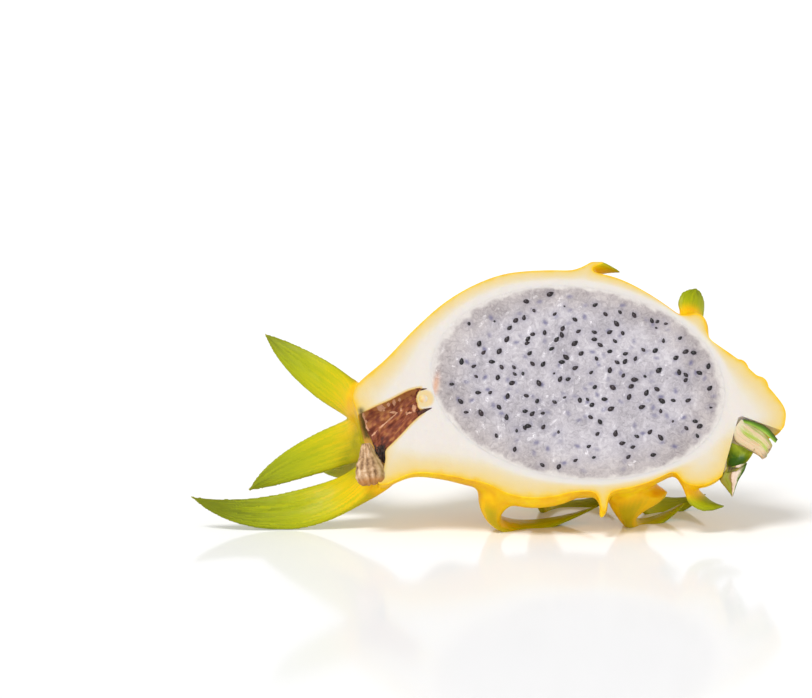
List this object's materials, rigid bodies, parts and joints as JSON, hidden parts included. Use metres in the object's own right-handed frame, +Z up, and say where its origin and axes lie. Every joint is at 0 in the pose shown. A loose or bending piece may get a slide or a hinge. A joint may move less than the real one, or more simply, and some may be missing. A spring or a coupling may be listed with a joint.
{
  "type": "dragon fruit half",
  "caption": "Half of a yellow dragon fruit with green-tipped scales, cut lengthwise to show white pulp full of black seeds.",
  "frame": {"origin": "centre of the bounding box, on the floor that the scales stand on", "axes": "+X from the crown with its long scales to the stalk end, -Y the side that the cut face looks to, +Z up"},
  "size_m": [0.1676, 0.0648, 0.0731],
  "materials": {
    "rind": "satin",
    "pulp": "wet",
    "flower_tube": "matte",
    "dried_petal": "matte",
    "stalk_stub": "satin"
  },
  "bodies": {
    "root": {"rind": "rind", "pulp": "pulp", "flower_tube": "flower_tube", "dried_petal": "dried_petal", "stalk_stub": "stalk_stub"}
  },
  "joints": []
}
